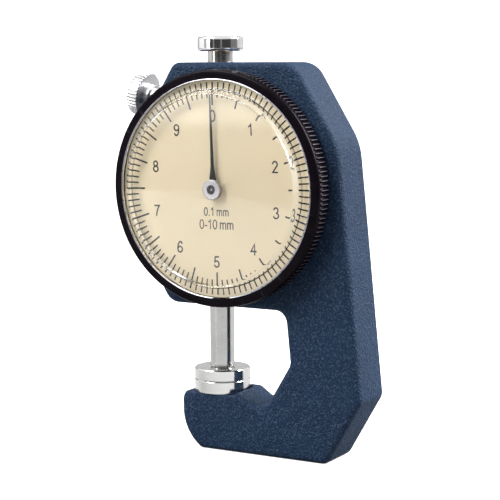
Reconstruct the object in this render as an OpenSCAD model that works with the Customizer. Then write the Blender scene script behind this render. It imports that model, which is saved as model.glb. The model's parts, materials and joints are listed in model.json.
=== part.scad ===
// Dial thickness gauge: a C-shaped frame with a sprung spindle that turns a pointer by rack and pinion.
// Millimetres. Z is up, the dial faces -Y. The origin lies on the foot plane below the spindle axis.

/* [Frame] */
// Thickness of the casting, front face to back face
frame_t = 9.5; // [9.2:0.1:11]
// Rounding of the casting's edges
edge_r = 1; // [0.6:0.1:1.2]
// Height of the head's top face above the foot
head_top = 68.4; // [68:0.1:72]
// Height of the head's underside above the foot
head_low = 25.9; // [25:0.1:26.2]
// Distance from the spindle axis to the head's left face
head_left = 16; // [15.8:0.1:19]
// Left end of the head's top face, from the spindle axis
top_left = 7.1; // [6:0.1:8]
// Right end of the head's top face, from the spindle axis
top_right = 16.9; // [16:0.1:19]
// Left end of the head's underside, from the spindle axis
low_left = 8.2; // [7:0.1:9]
// Slope of the head's chamfers from the horizontal
chamfer_angle = 58.5; // [57:0.5:61]
// Spine's outer face at foot level, from the spindle axis
spine_x = 30.9; // [30:0.1:34]
// Lean of the spine, outward going down
spine_lean = 5.8; // [5:0.1:7]
// Right end of the foot, from the spindle axis
foot_right = 23.2; // [21:0.1:24]
// Slope of the foot's right chamfer from the horizontal
foot_angle = 60; // [57:0.5:62]
// Distance from the spindle axis to the throat wall at the underside
throat_depth = 15.1; // [14.6:0.1:16]
// Height where the throat wall turns into the slope down to the arm
slope_top = 16.7; // [16:0.1:18]
// Slope of the throat's lower face from the horizontal
slope_angle = 59; // [57:0.5:61]
// Height of the arm's top face
arm_top = 10.7; // [10.5:0.1:11.2]
// Radius of the toe at the arm's end
toe_r = 8; // [7:0.1:8]
// Radius of the toe's upper corner
toe_top_r = 2.2; // [1.6:0.1:2.6]
// Reach of the toe beyond the spindle axis
toe_reach = 5.8; // [5.6:0.1:6.6]
// Height where the toe turns under towards the foot
toe_foot_rise = 2.6; // [2.4:0.1:2.8]
// Left end of the foot, from the spindle axis
toe_foot = 2; // [1.6:0.1:2.2]
// Right end of the arm's top face, from the spindle axis
land_x = 5.6; // [5.4:0.1:5.8]
// Slope of the relief groove's left wall from the horizontal
groove_angle = 34; // [30:1:36]
// Radius of the relief groove's bottom
groove_r = 3.4; // [2.6:0.1:3.6]
// Radius of the throat's corners
inner_r = 2.2; // [1.4:0.1:2.6]
// Radius of the outline's outer corners
outer_r = 2; // [1.6:0.1:2.6]
// Radius of the head's lower left corner
low_r = 3; // [2:0.1:4]
// Radius of the head's upper right corner
head_r = 4.5; // [3:0.1:6]
// Radius where the head's chamfer runs into the spine
spine_r = 11; // [6:0.1:14]

/* [Dial] */
// Outside diameter of the bezel
bezel_d = 41; // [40.8:0.1:41.6]
// Depth of the bezel from rear to front rim
bezel_depth = 3.7; // [3.5:0.1:4.2]
// Width of the bezel's front face
bezel_face = 1.6; // [1.4:0.1:1.8]
// Number of serrations on the bezel
bezel_teeth = 164; // [120:4:180]
// Depth of a bezel serration
bezel_cut = 0.24; // [0.15:0.01:0.3]
// Height of the dial's axis above the foot
dial_z = 46.8; // [46.6:0.1:47]
// Thickness of the dial plate
dial_t = 0.4; // [0.3:0.05:0.5]
// Height of the crystal above the bezel's rim
crystal_rise = 1.7; // [1.6:0.1:2.2]
// Thickness of the crystal over the hub
crystal_t = 1; // [0.8:0.1:1.2]
// Width of the flat rim around the crystal's raised top
crystal_rim = 1.65; // [1.5:0.05:1.8]
// Length of the pointer from the dial's axis
pointer_len = 16.1; // [14:0.1:16.4]
// Width of the pointer where it leaves the hub
pointer_root = 1.3; // [1:0.1:1.6]
// Width of the pointer's blade behind its flared root
pointer_blade = 0.6; // [0.4:0.05:0.9]
// Width of the pointer at its tip
pointer_tip = 0.22; // [0.15:0.01:0.3]
// Lean of the resting pointer to the left of upright
pointer_lean = 1.4; // [0:0.1:3]
// Diameter of the pointer's hub
hub_d = 3.5; // [3:0.1:4]

/* [Spindle] */
// Diameter of the spindle
spindle_d = 4.4; // [4.2:0.05:4.5]
// Lift of the spindle from the closed position
travel = 10.5; // [10.1:0.1:10.6]
// Diameter of the measuring faces
anvil_d = 10; // [8:0.5:12]
// Height of the closed measuring faces above the foot
measure_z = 12.3; // [12.2:0.1:12.6]
// Thickness of the upper contact
contact_t = 2; // [1.6:0.1:2.2]
// Height of the anvil's seat above the foot
seat_z = 10; // [9.6:0.1:10.2]
// Diameter of the lifting knob
knob_d = 8.1; // [7:0.1:10]
// Thickness of the lifting knob
knob_t = 2.6; // [2:0.1:3.2]
// Gap between the head and the closed lifting knob
knob_gap = 1.9; // [1.5:0.1:3]

/* [Movement] */
// Lift that turns the pointer once
lift_per_turn = 10; // [9.8:0.1:10.2]
// Teeth of the pinion
pinion_teeth = 16; // [14:2:18]
// Radius of the pocket that holds the movement
pocket_r = 13; // [12.8:0.1:13.2]
// Thickness of the wall behind the pocket
back_wall = 1.85; // [1.7:0.05:2.2]
// Thickness of the movement plate
plate_t = 1; // [0.8:0.1:1.2]
// Turns of the return spring
spring_turns = 9; // [7:1:10]
// Wire radius of the return spring
spring_wire = 0.17; // [0.12:0.01:0.2]

/* [Lock] */
// Diameter of the lock screw's knob
lock_d = 7.9; // [7:0.1:8.2]
// Thickness of the lock screw's knob
lock_t = 2.1; // [1.8:0.1:2.6]
// Serrations of the lock screw's knob
lock_teeth = 38; // [30:1:46]
// Climb of the lock screw's axis from the horizontal
lock_angle = 12; // [10:0.5:14]
// Drop from the head's top face to where the lock screw's axis meets the spindle axis
lock_drop = 9.05; // [8.8:0.05:9.2]
// Distance from the spindle axis to the lock knob's inner face
lock_reach = 15.6; // [15:0.1:18]
// Diameter of the lock screw's thread
lock_thread = 3; // [2.6:0.1:3]
// Pitch of the lock screw's thread
lock_pitch = 0.5; // [0.35:0.05:0.5]

/* [Fits] */
// Radial clearance of a running fit
run_c = 0.03; // [0.02:0.01:0.05]
// Radial clearance of a pressed or screwed seat
seat_c = 0.01; // [0.01:0.01:0.02]
// Clearance between pieces that pass each other
pass_c = 0.3; // [0.2:0.05:0.4]
// Thinning of each gear flank for free running
flank_c = 0.02; // [0.02:0.005:0.03]

/* [Hidden] */
eps = 0.01;
big = 200;
fine = 96;
mid = 48;
$fn = mid;

// Depths run forward from the frame's middle plane, so a depth d lies at Y = -d.
front = frame_t / 2;
floor_d = -(frame_t / 2 - back_wall);
spindle_r = spindle_d / 2;
bezel_r = bezel_d / 2;

// Rack and pinion
pitch_r = lift_per_turn / (2 * PI);
tooth_pitch = lift_per_turn / pinion_teeth;
module_mm = tooth_pitch / PI;
addendum = 0.8 * module_mm;
dedendum = 1.05 * module_mm;
pressure_angle = 20;
rack_flat_cut = 0.12;
rack_tip_x = spindle_r - rack_flat_cut;
rack_pitch_x = rack_tip_x - addendum;
dial_x = rack_pitch_x + pitch_r;
rack_spare = 2;
rack_count = ceil(travel / tooth_pitch) + 2 * rack_spare;
face_w = 2.4;

// Bezel and what it holds
bezel_gap = pass_c;
bezel_rear = front + bezel_gap;
bezel_front = bezel_rear + bezel_depth;
bezel_drop = 0.55;
rim_r = bezel_r - bezel_face;
boss_h = 1.65;
boss_front = front + boss_h;
boss_r = rim_r - 0.6;
shoulder_d = boss_front + pass_c * 0.7;
shoulder_r = boss_r - 0.65;
dial_back = shoulder_d + 0.45;
dial_front = dial_back + dial_t;
dial_r = rim_r - 0.25;
dial_hole_r = 1.2;
ring_w = 0.22;
ring_rise = 0.06;
flange_t = 0.55;
flange_front = dial_front + flange_t;
crystal_r = rim_r - ring_w - 2 * seat_c;
crystal_top = bezel_front + crystal_rise;
crystal_roof = crystal_top - crystal_t;
crystal_draft = 0.55;
crystal_break = 0.1;
step_r = crystal_r - crystal_rim;
step_d = bezel_front + crystal_break;
hollow_c = 0.25;
hollow_draft = 0.6;
wire_r = 0.35;
wire_d = bezel_rear + 0.75;
wire_groove = wire_r + 0.05;

// Movement levels
ledge_w = 2;
plate_c = 0.1;
well_r = pocket_r + ledge_w;
plate_r = well_r - plate_c;
plate_back = front - plate_t - 0.45;
plate_front = plate_back + plate_t;
screw_r = 0.7;
screw_wall = 0.15;
screw_ring = pocket_r + screw_r + screw_wall;
screw_head_r = well_r - screw_ring - plate_c;
screw_spare = 0.2;
screw_start = 30;
screw_head_h = 0.7;
screw_len = 3;
screw_count = 3;
slot_w = 0.35;
slot_deep = 0.35;
arbor_r = 0.8;
journal_r = 0.5;
pivot_r = 0.4;
bearing_r = 1.2;
rear_bearing_h = 0.35;
rear_bearing_end = floor_d - 1.05;
pivot_end = rear_bearing_end + 0.2;
front_bearing_r = 1.3;
front_bearing_proud = 0.1;
hub_back = dial_front + 0.45;
hub_front = crystal_roof - 0.4;
hub_break = 0.3;
hub_recess = 0.25;
hub_recess_r = 0.8;
flare_len = 2.4;
blade_back = hub_back + 0.25;
blade_t = 0.15;
collar_r = journal_r + seat_c + 0.35;
hair_w = 0.35;
hair_t = 0.12;
hair_d = plate_back - 0.3 - hair_w;
hair_in = 1.05;
hair_out = 3.4;
hair_turns = 4;
stud_r = 0.35;
stud_x = hair_out + hair_t / 2 + stud_r - eps;

// Spindle levels
contact_gap = 0.01;
spindle_low = measure_z + contact_t;
spindle_top = head_top + knob_gap;
stud_len = 3.5;
knob_edge = 0.55;
contact_stud_r = 1.2;
knob_stud_r = 1;
pin_r = 0.5;
post_r = 0.6;
spring_side = 1.7;
spring_x = -(spindle_r + spring_side);
spring_r = 0.85;
post_drop = 9.2;
pin_drop = 1.8;
guide_drop = 4.8;
post_z = dial_z - post_drop;
pin_z = dial_z - pin_drop;
guide_z = dial_z - guide_drop;
guide_r = 0.6;
guide_deep = 1.1;
guide_end = floor_d - guide_deep;
slot_end = guide_end - 0.15;
lock_z = head_top - lock_drop;
bush_r = 3.4;
lower_bush_top = dial_z - well_r - pass_c;
upper_bush_low = max(lock_z + lock_thread / 2 + 1.1, dial_z + well_r + plate_c);
passage_r = spindle_r + pass_c;

// Anvil
seat_r = anvil_d / 2 + 0.5;
shank_r = 2;
shank_len = 6;
disc_break = 0.15;

// Lock screw, measured along its axis from the spindle axis
lock_advance = lock_pitch / 2;
pad_r = lock_thread / 2 - 0.05;
pad_gap = 0.02;
pad_len = 2.2;
pad_x = spindle_r + lock_advance + pad_gap;
pad_back = pad_x + pad_len;
lock_hole_r = lock_thread / 2 + run_c;
lock_cut = 0.25;
lock_break = 0.3;
neck_r = lock_thread / 2 + 0.5;
neck_len = 1.2;

// Frame outline corners
spine_top_z = (spine_x - top_right - head_top / tan(chamfer_angle))
  / (tan(spine_lean) - 1 / tan(chamfer_angle));
spine_top_x = spine_x - spine_top_z * tan(spine_lean);
spine_low_z = (spine_x - foot_right) / (1 / tan(foot_angle) + tan(spine_lean));
spine_low_x = spine_x - spine_low_z * tan(spine_lean);
left_top_z = head_top - (head_left - top_left) * tan(chamfer_angle);
left_low_z = head_low + (head_left - low_left) * tan(chamfer_angle);
slope_x = throat_depth + (head_low - slope_top) * tan(spine_lean);
toe_turn_z = toe_foot_rise;
// The groove's two walls meet below its rounded bottom.
groove_run = (slope_top - arm_top - (slope_x - land_x) * tan(slope_angle))
  / (-tan(groove_angle) - tan(slope_angle));
groove_x = land_x + groove_run;
groove_z = arm_top - groove_run * tan(groove_angle);
edge_step = 22.5;
arc_step = 12;

// Shapes along Y, from depth a at the rear to depth b at the front
module along_y(a, b) {
  translate([0, -a, 0])
    rotate([90, 0, 0])
      linear_extrude(b - a)
        children();
}

module rod_y(r, a, b) {
  translate([0, -a, 0])
    rotate([90, 0, 0])
      cylinder(r = r, h = b - a);
}

module at_dial() {
  translate([dial_x, 0, dial_z])
    children();
}

// Solid of revolution about the dial's axis, from points [radius, depth]
module turned(points, turn = 360) {
  at_dial()
    rotate([90, 0, 0])
      rotate_extrude(angle = turn, $fn = fine)
        polygon(points);
}

module along_lock(a, b, r) {
  translate([0, 0, lock_z])
    rotate([0, lock_angle - 90, 0])
      translate([0, 0, a])
        cylinder(r = r, h = b - a);
}

// Corners of the outline, each with its radius, counter-clockwise as seen from the front
outline_corners = [
  [foot_right, 0, outer_r], [spine_low_x, spine_low_z, outer_r], [spine_top_x, spine_top_z, spine_r],
  [top_right, head_top, head_r], [-top_left, head_top, outer_r], [-head_left, left_top_z, outer_r],
  [-head_left, left_low_z, outer_r], [-low_left, head_low, low_r], [throat_depth, head_low, inner_r],
  [slope_x, slope_top, inner_r], [groove_x, groove_z, groove_r], [land_x, arm_top, edge_r + 0.2],
  [-toe_reach, arm_top, toe_top_r], [-toe_reach, toe_turn_z, toe_r], [-toe_foot, 0, edge_r + 0.2]];

function unit(v) = v / norm(v);
function flat_point(c) = [c[0], c[1]];

// Arc that rounds corner q between p and s, as pairs of point and outward normal
function corner_arc(p, q, s, r) =
  let (a = unit(p - q), b = unit(s - q), half = acos(a * b) / 2,
    centre = q + unit(a + b) * r / sin(half), start = q + a * r / tan(half) - centre,
    side = cross(q - p, s - q) > 0 ? 1 : -1, sweep = side * (180 - 2 * half),
    from = atan2(start[1], start[0]), steps = max(2, ceil(abs(sweep) / arc_step)))
  [for (i = [0 : steps])
    let (t = from + sweep * i / steps, n = [cos(t), sin(t)])
    [centre + r * n, side * n]];

outline = let (c = outline_corners, n = len(c))
  [for (i = [0 : n - 1])
    each corner_arc(flat_point(c[(i + n - 1) % n]), flat_point(c[i]), flat_point(c[(i + 1) % n]), c[i][2])];

// Triangles that fill a flat outline, found by cutting off one free corner at a time
function turn(a, b, c) = cross(b - a, c - a);
function inside(p, a, b, c) = turn(a, b, p) >= 0 && turn(b, c, p) >= 0 && turn(c, a, p) >= 0;
function free_corner(pts, ids, k) =
  let (n = len(ids), a = ids[(k + n - 1) % n], b = ids[k], c = ids[(k + 1) % n])
  turn(pts[a], pts[b], pts[c]) > 0
  && len([for (i = ids) if (i != a && i != b && i != c && inside(pts[i], pts[a], pts[b], pts[c])) i]) == 0;
function find_corner(pts, ids, k = 0) =
  k >= len(ids) - 1 || free_corner(pts, ids, k) ? k : find_corner(pts, ids, k + 1);
function fill(pts, ids) =
  len(ids) == 3 ? [ids] :
  let (n = len(ids), k = find_corner(pts, ids))
  concat([[ids[(k + n - 1) % n], ids[k], ids[(k + 1) % n]]],
    fill(pts, [for (i = [0 : n - 1]) if (i != k) ids[i]]));

// One ring of the casting's skin, moved in from the outline and set at a height y
function skin_ring(inset, y) = [for (p = outline)
  [p[0][0] - inset * p[1][0], y, p[0][1] - inset * p[1][1]]];

module casting() {
  n = len(outline);
  turns = [for (t = [90 : -edge_step : 0]) t];
  back_rings = [for (t = turns) [edge_r * (1 - cos(t)), front - edge_r + edge_r * sin(t)]];
  rings = concat(back_rings, [for (i = [len(turns) - 1 : -1 : 0]) [back_rings[i][0], -back_rings[i][1]]]);
  points = [for (r = rings) each skin_ring(r[0], r[1])];
  sides = [for (j = [0 : len(rings) - 2]) for (i = [0 : n - 1])
    let (a = j * n + i, b = j * n + (i + 1) % n)
    each [[a, a + n, b + n], [a, b + n, b]]];
  face = fill([for (p = outline) p[0] - edge_r * p[1]], [for (i = [0 : n - 1]) i]);
  last = (len(rings) - 1) * n;
  front_face = [for (f = face) [f[2] + last, f[1] + last, f[0] + last]];
  polyhedron(points, concat(sides, face, front_face));
}

module frame() {
  color([0.16, 0.24, 0.38])
    difference() {
      union() {
        casting();
        at_dial()
          rod_y(boss_r, front - 1, boss_front, $fn = fine);
      }
      at_dial() {
        rod_y(pocket_r, floor_d, boss_front + 1, $fn = fine);
        rod_y(well_r, plate_back, boss_front + 1, $fn = fine);
        rod_y(bearing_r + seat_c, rear_bearing_end, 0);
      }
      at_screws()
        rod_y(screw_r + seat_c, plate_front - screw_len - screw_spare, front);
      turned([[boss_r + 1, wire_d - wire_groove], [boss_r - wire_groove, wire_d - wire_groove],
        [boss_r - wire_groove, wire_d + wire_groove], [boss_r + 1, wire_d + wire_groove]]);
      translate([0, 0, head_low - 1])
        cylinder(r = bush_r + seat_c, h = lower_bush_top - head_low + 1);
      translate([0, 0, upper_bush_low])
        cylinder(r = bush_r + seat_c, h = head_top + 1 - upper_bush_low);
      translate([0, 0, head_low])
        cylinder(r = passage_r, h = head_top - head_low);
      along_lock(0, big / 4, lock_hole_r);
      translate([0, 0, seat_z])
        cylinder(r = seat_r, h = measure_z - seat_z + contact_t);
      translate([0, 0, seat_z - shank_len])
        cylinder(r = shank_r + seat_c, h = shank_len + 1);
      guide_slot();
      translate([spring_x, 0, post_z])
        rod_y(post_r + seat_c, guide_end, 0);
    }
}

module guide_slot() {
  translate([-guide_r - run_c, -floor_d - 1, guide_z - guide_r - pass_c])
    cube([2 * (guide_r + run_c), floor_d - slot_end + 1, travel + 2 * (guide_r + pass_c)]);
}

module upper_bush() {
  color([0.72, 0.6, 0.35])
    difference() {
      translate([0, 0, upper_bush_low])
        cylinder(r = bush_r, h = head_top - upper_bush_low);
      translate([0, 0, upper_bush_low - 1])
        cylinder(r = spindle_r + run_c, h = head_top - upper_bush_low + 2);
    }
}

module lower_bush() {
  color([0.72, 0.6, 0.35])
    difference() {
      translate([0, 0, head_low])
        cylinder(r = bush_r, h = lower_bush_top - head_low);
      translate([0, 0, head_low - 1])
        cylinder(r = spindle_r + run_c, h = lower_bush_top - head_low + 2);
    }
}

// Disc with broken edges, standing on z
module disc(r, z, h, break) {
  translate([0, 0, z])
    rotate_extrude($fn = fine)
      polygon([[0, 0], [r - break, 0], [r, break], [r, h - break], [r - break, h], [0, h]]);
}

module lower_anvil() {
  color([0.8, 0.8, 0.8]) {
    disc(anvil_d / 2, seat_z, measure_z - contact_gap - seat_z, disc_break);
    translate([0, 0, seat_z - shank_len + 0.2])
      cylinder(r = shank_r, h = shank_len);
  }
}

// One tooth space of the rack, cut from beyond the flat to the root line
module rack_space() {
  open_h = tooth_pitch / 4 + flank_c + (addendum + 0.3) * tan(pressure_angle);
  root_h = tooth_pitch / 4 + flank_c - dedendum * tan(pressure_angle);
  along_y(-spindle_r, spindle_r)
    polygon([[rack_pitch_x - dedendum, -root_h], [rack_tip_x + 0.3, -open_h],
      [rack_tip_x + 0.3, open_h], [rack_pitch_x - dedendum, root_h]]);
}

module spindle() {
  color([0.82, 0.82, 0.82])
    difference() {
      translate([0, 0, spindle_low])
        rotate_extrude()
          polygon([[0, 0], [spindle_r - 0.25, 0], [spindle_r, 0.25],
            [spindle_r, spindle_top - spindle_low], [0, spindle_top - spindle_low]]);
      translate([rack_tip_x, -spindle_r, dial_z - (rack_count - rack_spare + 0.5) * tooth_pitch])
        cube([spindle_r, spindle_d, (rack_count + 1) * tooth_pitch]);
      for (i = [0 : rack_count])
        translate([0, 0, dial_z + (rack_spare - i) * tooth_pitch])
          rack_space();
      translate([0, 0, spindle_low - 1])
        cylinder(r = contact_stud_r + seat_c, h = stud_len + 1.3);
      translate([0, 0, spindle_top - stud_len - 0.3])
        cylinder(r = knob_stud_r + seat_c, h = stud_len + 1);
      translate([-spindle_d, 0, pin_z])
        rotate([0, 90, 0])
          cylinder(r = pin_r + seat_c, h = spindle_d - spindle_r / 2);
      translate([0, 0, guide_z])
        rod_y(guide_r + seat_c, -spindle_d, -spindle_r / 2);
    }
}

module upper_contact() {
  color([0.8, 0.8, 0.8]) {
    disc(anvil_d / 2, measure_z, contact_t, disc_break);
    translate([0, 0, measure_z + 0.5])
      cylinder(r = contact_stud_r, h = contact_t - 0.5 + stud_len);
  }
}

module lifting_knob() {
  color([0.85, 0.85, 0.86]) {
    translate([0, 0, spindle_top])
      rotate_extrude($fn = fine)
        polygon(concat(
          [[0, 0]],
          [for (a = [-90 : 15 : 0]) knob_edge * [cos(a), sin(a)] + [knob_d / 2 - knob_edge, knob_edge]],
          [for (a = [0 : 15 : 90]) knob_edge * [cos(a), sin(a)] + [knob_d / 2 - knob_edge, knob_t - knob_edge]],
          [[0, knob_t]]));
    translate([0, 0, spindle_top - stud_len])
      cylinder(r = knob_stud_r, h = stud_len + 1);
  }
}

module guide_pin() {
  color([0.7, 0.7, 0.72])
    translate([0, 0, guide_z])
      rod_y(guide_r, guide_end, -spindle_r / 2 - seat_c);
}

module spring_pin() {
  color([0.7, 0.7, 0.72])
    translate([spring_x - 1, 0, pin_z])
      rotate([0, 90, 0])
        cylinder(r = pin_r, h = -spring_x + 1 - spindle_r / 2 - seat_c);
}

module spring_post() {
  color([0.7, 0.7, 0.72])
    translate([spring_x, 0, post_z])
      rod_y(post_r, guide_end + 0.1, 0.8);
}

// Coil of round wire between two heights, from rings of points along a helix
function helix_point(i, n, h) = [spring_r * cos(360 * spring_turns * i / n),
  spring_r * sin(360 * spring_turns * i / n), h * i / n];
function wire_ring(i, n, h, sides) =
  let (a = 360 * spring_turns * i / n, c = helix_point(i, n, h),
    climb = atan2(h, 2 * PI * spring_r * spring_turns))
  [for (k = [0 : sides - 1])
    let (u = spring_wire * cos(360 * k / sides), v = spring_wire * sin(360 * k / sides))
    c + u * [cos(a), sin(a), 0] + v * [sin(a) * sin(climb), -cos(a) * sin(climb), cos(climb)]];

module coil(h) {
  sides = 6;
  n = spring_turns * 14;
  points = [for (i = [0 : n]) each wire_ring(i, n, h, sides)];
  skin = [for (i = [0 : n - 1]) for (k = [0 : sides - 1])
    let (a = i * sides + k, b = i * sides + (k + 1) % sides)
    each [[a, b, b + sides], [a, b + sides, a + sides]]];
  start = [for (k = [sides - 1 : -1 : 0]) k];
  finish = [for (k = [0 : sides - 1]) n * sides + k];
  polyhedron(points, concat(skin, [start], [finish]));
}

module loop_wire(r) {
  rotate_extrude()
    translate([r, 0])
      circle(spring_wire, $fn = 16);
}

module return_spring() {
  low_r = post_r + spring_wire + 0.05;
  top_r = pin_r + spring_wire + 0.05;
  low = post_z + low_r;
  high = pin_z - top_r;
  color([0.75, 0.75, 0.75])
    translate([spring_x, 0, 0]) {
      translate([0, 0, low + spring_wire])
        coil(high - low - 2 * spring_wire);
      translate([0, 0, post_z])
        rotate([90, 0, 0])
          loop_wire(low_r);
      translate([0, 0, pin_z])
        rotate([0, 90, 0])
          loop_wire(top_r);
      for (z = [low, high])
        translate([-spring_wire, 0, z])
          rotate([0, 90, 0])
            cylinder(r = spring_wire, h = spring_r + spring_wire, $fn = 16);
    }
}

module at_screws() {
  at_dial()
    for (i = [0 : screw_count - 1])
      rotate([0, screw_start + i * 360 / screw_count, 0])
        translate([screw_ring, 0, 0])
          children();
}

module movement_plate() {
  color([0.72, 0.62, 0.36])
    difference() {
      at_dial()
        rod_y(plate_r, plate_back, plate_front, $fn = fine);
      at_dial()
        rod_y(front_bearing_r + seat_c, plate_back - 1, plate_front + 1);
      at_screws()
        rod_y(screw_r + plate_c, plate_back - 1, plate_front + 1);
      at_dial()
        translate([stud_x, 0, 0])
          rod_y(stud_r + seat_c, plate_back - 1, plate_front + 1);
    }
}

module plate_screws() {
  color([0.7, 0.7, 0.72])
    at_screws()
      difference() {
        union() {
          rod_y(screw_head_r, plate_front, plate_front + screw_head_h);
          rod_y(screw_r, plate_front - screw_len, plate_front + 0.1);
        }
        translate([-slot_w / 2, -plate_front - screw_head_h - 1, -screw_head_r - 1])
          cube([slot_w, slot_deep + 1, 2 * screw_head_r + 2]);
      }
}

module front_bearing() {
  color([0.75, 0.62, 0.3])
    at_dial()
      difference() {
        rod_y(front_bearing_r, plate_back - front_bearing_proud, plate_front + front_bearing_proud);
        rod_y(journal_r + run_c, plate_back - 1, plate_front + 1);
      }
}

module rear_bearing() {
  color([0.75, 0.62, 0.3])
    at_dial()
      difference() {
        rod_y(bearing_r, rear_bearing_end, floor_d + rear_bearing_h);
        rod_y(pivot_r + run_c, rear_bearing_end - 1, floor_d + rear_bearing_h + 1);
      }
}

// Half angle of a pinion tooth at radius r
function involute(a) = tan(a) * 180 / PI - a;
base_r = pitch_r * cos(pressure_angle);
function half_tooth(r) = 90 / pinion_teeth - (flank_c / pitch_r) * 180 / PI + involute(pressure_angle)
  - (r > base_r ? involute(acos(base_r / r)) : 0);
flank_steps = 4;
tip_r = pitch_r + addendum;
root_r = pitch_r - dedendum;
function tooth_side(sign, t) = [for (i = [0 : flank_steps])
  let (s = sign < 0 ? i : flank_steps - i, r = base_r + (tip_r - base_r) * s / flank_steps,
    a = 360 * t / pinion_teeth + sign * half_tooth(r))
  [r * cos(a), r * sin(a)]];
function root_point(sign, t) =
  let (a = 360 * t / pinion_teeth + sign * half_tooth(base_r))
  [root_r * cos(a), root_r * sin(a)];

module pinion_shape() {
  polygon([for (t = [0 : pinion_teeth - 1])
    each concat([root_point(-1, t)], tooth_side(-1, t), tooth_side(1, t), [root_point(1, t)])]);
}

module pinion_arbor() {
  color([0.78, 0.78, 0.8])
    at_dial() {
      along_y(-face_w / 2, face_w / 2)
        pinion_shape();
      rod_y(arbor_r, floor_d + rear_bearing_h + 0.1, plate_back - front_bearing_proud - 0.1);
      rod_y(pivot_r, pivot_end, 0);
      rod_y(journal_r, 0, hub_front - hub_recess);
    }
}

// Flat spiral spring about the arbor, its outer end at the stud
function hair_point(i, n, side) =
  let (a = 360 * hair_turns * (i / n - 1), r = hair_in + (hair_out - hair_in) * i / n + side * hair_t / 2)
  [r * cos(a), r * sin(a)];

module hairspring() {
  n = hair_turns * 24;
  color([0.3, 0.36, 0.6])
    at_dial()
      along_y(hair_d, hair_d + hair_w)
        polygon(concat([for (i = [0 : n]) hair_point(i, n, -1)], [for (i = [n : -1 : 0]) hair_point(i, n, 1)]));
}

module hairspring_stud() {
  color([0.75, 0.62, 0.3])
    at_dial()
      translate([stud_x, 0, 0])
        rod_y(stud_r, hair_d, plate_front);
}

// Blade with a flared root, leaning with the zero that it rests on
module pointer() {
  neck = hub_d / 2 + flare_len;
  color([0.1, 0.1, 0.11])
    at_dial()
      rotate([0, -pointer_lean, 0])
        difference() {
          along_y(blade_back, blade_back + blade_t)
            union() {
              circle(hub_d / 2 - hub_break);
              polygon([[-pointer_root / 2, 0], [pointer_root / 2, 0], [pointer_root / 2, hub_d / 2],
                [pointer_blade / 2, neck], [pointer_tip / 2, pointer_len], [-pointer_tip / 2, pointer_len],
                [-pointer_blade / 2, neck], [-pointer_root / 2, hub_d / 2]]);
            }
          rod_y(collar_r + seat_c, blade_back - 1, blade_back + 1);
        }
}

module pointer_hub() {
  cap_back = blade_back + blade_t;
  cap = hub_front - cap_back;
  color([0.7, 0.7, 0.7])
    at_dial()
      difference() {
        union() {
          rod_y(collar_r, hub_back, cap_back + eps);
          translate([0, -cap_back, 0])
            rotate([90, 0, 0])
              rotate_extrude()
                polygon([[0, 0], [hub_d / 2, 0], [hub_d / 2, cap - hub_break], [hub_d / 2 - hub_break, cap],
                  [hub_recess_r, cap], [hub_recess_r, cap - hub_recess], [0, cap - hub_recess]]);
        }
        rod_y(journal_r + seat_c, hub_back - 1, hub_front + 1);
      }
}

// Ring of straight V-shaped serrations
function serration(r, count, cut, i) =
  let (a = 180 * i / count, q = r - (i % 2) * cut)
  [q * cos(a), q * sin(a)];

module knurled(r, count, cut) {
  polygon([for (i = [0 : 2 * count - 1]) serration(r, count, cut, i)]);
}

module bezel() {
  knurl_front = bezel_front - bezel_drop - 0.25;
  ring_r = bezel_r - bezel_cut / 3;
  color([0.07, 0.07, 0.08])
    difference() {
      union() {
        at_dial()
          along_y(bezel_rear, knurl_front + 0.05)
            knurled(bezel_r, bezel_teeth, bezel_cut);
        turned([[shoulder_r, knurl_front - 0.5], [bezel_r - 2 * bezel_cut, knurl_front - 0.5],
          [bezel_r - 2 * bezel_cut, knurl_front], [ring_r, knurl_front], [ring_r, bezel_front - bezel_drop],
          [ring_r - 0.3, bezel_front - bezel_drop / 3], [rim_r + 0.4, bezel_front], [shoulder_r, bezel_front]]);
      }
      turned([[0, bezel_rear - 1], [boss_r + run_c, bezel_rear - 1], [boss_r + run_c, wire_d - wire_groove],
        [boss_r + wire_groove, wire_d - wire_groove], [boss_r + wire_groove, wire_d + wire_groove],
        [boss_r + run_c, wire_d + wire_groove], [boss_r + run_c, shoulder_d], [shoulder_r, shoulder_d],
        [shoulder_r, dial_back], [rim_r, dial_back], [rim_r, bezel_front + 1], [0, bezel_front + 1]]);
    }
}

module bezel_spring() {
  gap_angle = 14;
  color([0.7, 0.7, 0.72])
    at_dial()
      rotate([90, 0, 0])
        translate([0, 0, wire_d])
          rotate([0, 0, 90 + gap_angle / 2])
            rotate_extrude(angle = 360 - gap_angle, $fn = fine)
              translate([boss_r, 0])
                circle(wire_r, $fn = 24);
}

module dial_plate() {
  color([0.88, 0.83, 0.7])
    turned([[dial_hole_r, dial_back], [dial_r, dial_back], [dial_r, dial_front], [dial_hole_r, dial_front]]);
}

// Raised flat top, steep side and flat rim, hollowed by a flat cone for the hand and its hub
module crystal() {
  top_r = step_r - crystal_draft;
  hollow_r = pointer_len + hollow_c;
  hollow_edge = blade_back + blade_t + pass_c;
  hub_space = hub_d / 2 + 2 * pass_c;
  color([0.9, 0.95, 1, 0.35])
    turned([[hollow_r + hollow_draft, dial_front], [rim_r - seat_c, dial_front], [rim_r - seat_c, flange_front],
      [crystal_r, flange_front], [crystal_r, step_d], [step_r, step_d], [top_r, crystal_top - crystal_break],
      [top_r - crystal_break, crystal_top], [0, crystal_top], [0, crystal_roof], [hub_space, crystal_roof],
      [hollow_r, hollow_edge]]);
}

module crystal_ring() {
  color([0.85, 0.85, 0.86])
    turned([[rim_r - ring_w, flange_front], [rim_r - seat_c, flange_front],
      [rim_r - seat_c, bezel_front], [rim_r - ring_w / 2, bezel_front + ring_rise], [rim_r - ring_w, bezel_front]]);
}

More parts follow.
